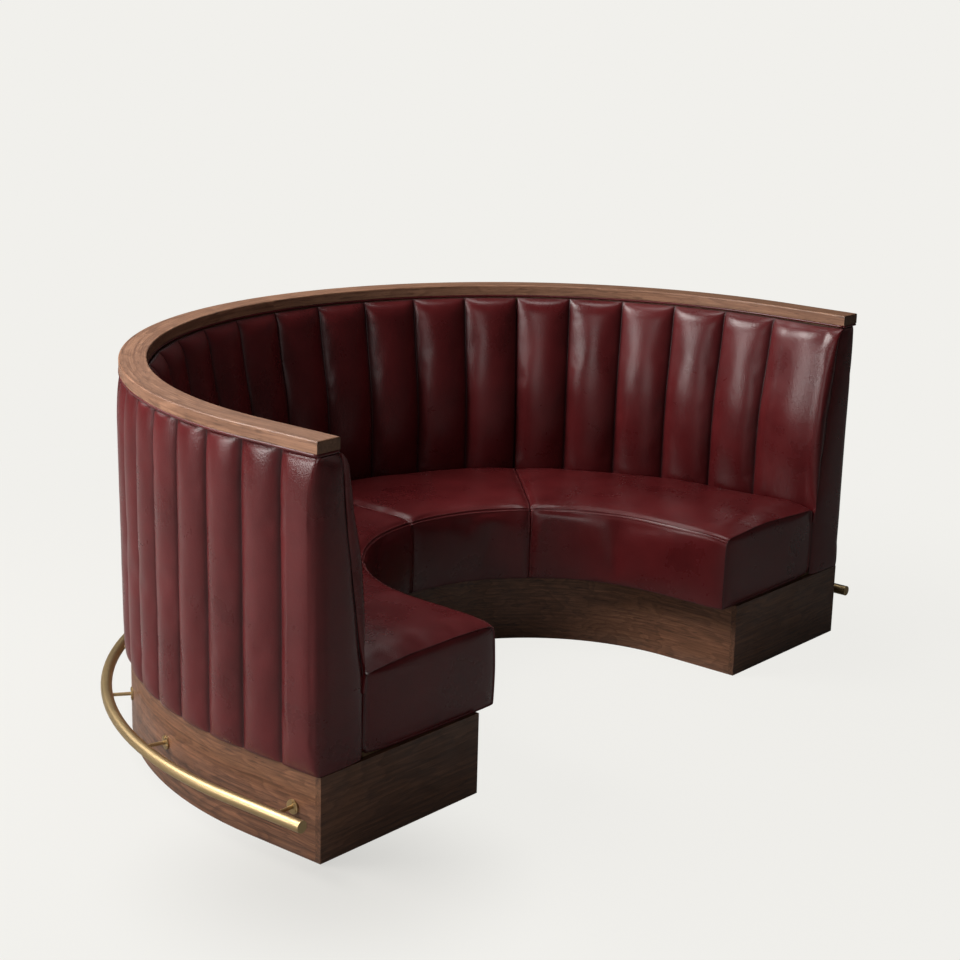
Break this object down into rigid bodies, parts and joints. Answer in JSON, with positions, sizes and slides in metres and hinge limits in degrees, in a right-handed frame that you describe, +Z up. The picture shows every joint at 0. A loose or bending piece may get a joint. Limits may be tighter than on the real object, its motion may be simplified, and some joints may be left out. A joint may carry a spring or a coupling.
{
  "type": "restaurant booth seating",
  "caption": "Half-round restaurant booth with fluted leather back, sprung leather seat, walnut cap and plinth, and a brass foot rail outside.",
  "frame": {"origin": "on the floor, under the middle of the booth's plan box; the centre of the curve lies 0.5135 m in front of it", "axes": "+Z up, +Y to the closed back of the booth, so the seat opens towards -Y; +X to the right of a person who looks at the back"},
  "size_m": [2.576, 1.549, 1.067],
  "materials": {
    "leather": "satin",
    "piping": "satin",
    "walnut_cap": "satin",
    "walnut_plinth": "satin",
    "plywood": "matte",
    "dowel_wood": "matte",
    "brass": "satin",
    "steel": "satin",
    "steel_feet": "satin"
  },
  "bodies": {
    "booth": {"seat_cushion_left_arm": "leather", "seat_cushion_back_left": "leather", "seat_cushion_back_right": "leather", "seat_cushion_right_arm": "leather", "back_cushion_left_arm": "leather", "back_cushion_back_left": "leather", "back_cushion_back_right": "leather", "back_cushion_right_arm": "leather", "outer_cushion_left_arm": "leather", "outer_cushion_back_left": "leather", "outer_cushion_back_right": "leather", "outer_cushion_right_arm": "leather", "end_panel_left": "leather", "end_panel_right": "leather", "welt_outer": "piping", "welt_inner": "piping", "welt_ends": "piping", "cap_rail_left_arm": "walnut_cap", "cap_rail_back_left": "walnut_cap", "cap_rail_back_right": "walnut_cap", "cap_rail_right_arm": "walnut_cap", "plinth_outer_panel": "walnut_plinth", "plinth_front_panel": "walnut_plinth", "plinth_end_left": "walnut_plinth", "plinth_end_right": "walnut_plinth", "seat_deck_left_arm": "plywood", "seat_deck_back_left": "plywood", "seat_deck_back_right": "plywood", "seat_deck_right_arm": "plywood", "seat_front_board": "plywood", "seat_end_boards": "plywood", "seat_bearers": "plywood", "back_ribs": "plywood", "top_rails": "plywood", "inner_skin_left": "plywood", "inner_skin_right": "plywood", "outer_skin_left": "plywood", "outer_skin_right": "plywood", "plinth_ribs": "plywood", "plinth_deck_left": "plywood", "plinth_deck_right": "plywood", "leveller_blocks": "plywood", "cap_dowels": "dowel_wood", "foot_rail": "brass", "rail_end_cap_left": "brass", "rail_end_cap_right": "brass", "rail_posts": "brass", "rail_flanges": "brass", "flange_screws": "brass", "cap_screws": "steel", "leveller_nuts": "steel"},
    "levelling_foot_1": {"levelling_foot_1": "steel_feet"},
    "levelling_foot_2": {"levelling_foot_2": "steel_feet"},
    "levelling_foot_3": {"levelling_foot_3": "steel_feet"},
    "levelling_foot_4": {"levelling_foot_4": "steel_feet"},
    "levelling_foot_5": {"levelling_foot_5": "steel_feet"},
    "levelling_foot_6": {"levelling_foot_6": "steel_feet"},
    "levelling_foot_7": {"levelling_foot_7": "steel_feet"},
    "levelling_foot_8": {"levelling_foot_8": "steel_feet"}
  },
  "joints": [
    {"name": "level_1", "type": "slide", "parent": "booth", "child": "levelling_foot_1", "axis": [0, 0, -1], "range_m": [0, 0.012]},
    {"name": "level_2", "type": "slide", "parent": "booth", "child": "levelling_foot_2", "axis": [0, 0, -1], "range_m": [0, 0.012]},
    {"name": "level_3", "type": "slide", "parent": "booth", "child": "levelling_foot_3", "axis": [0, 0, -1], "range_m": [0, 0.012]},
    {"name": "level_4", "type": "slide", "parent": "booth", "child": "levelling_foot_4", "axis": [0, 0, -1], "range_m": [0, 0.012]},
    {"name": "level_5", "type": "slide", "parent": "booth", "child": "levelling_foot_5", "axis": [0, 0, -1], "range_m": [0, 0.012]},
    {"name": "level_6", "type": "slide", "parent": "booth", "child": "levelling_foot_6", "axis": [0, 0, -1], "range_m": [0, 0.012]},
    {"name": "level_7", "type": "slide", "parent": "booth", "child": "levelling_foot_7", "axis": [0, 0, -1], "range_m": [0, 0.012]},
    {"name": "level_8", "type": "slide", "parent": "booth", "child": "levelling_foot_8", "axis": [0, 0, -1], "range_m": [0, 0.012]}
  ]
}
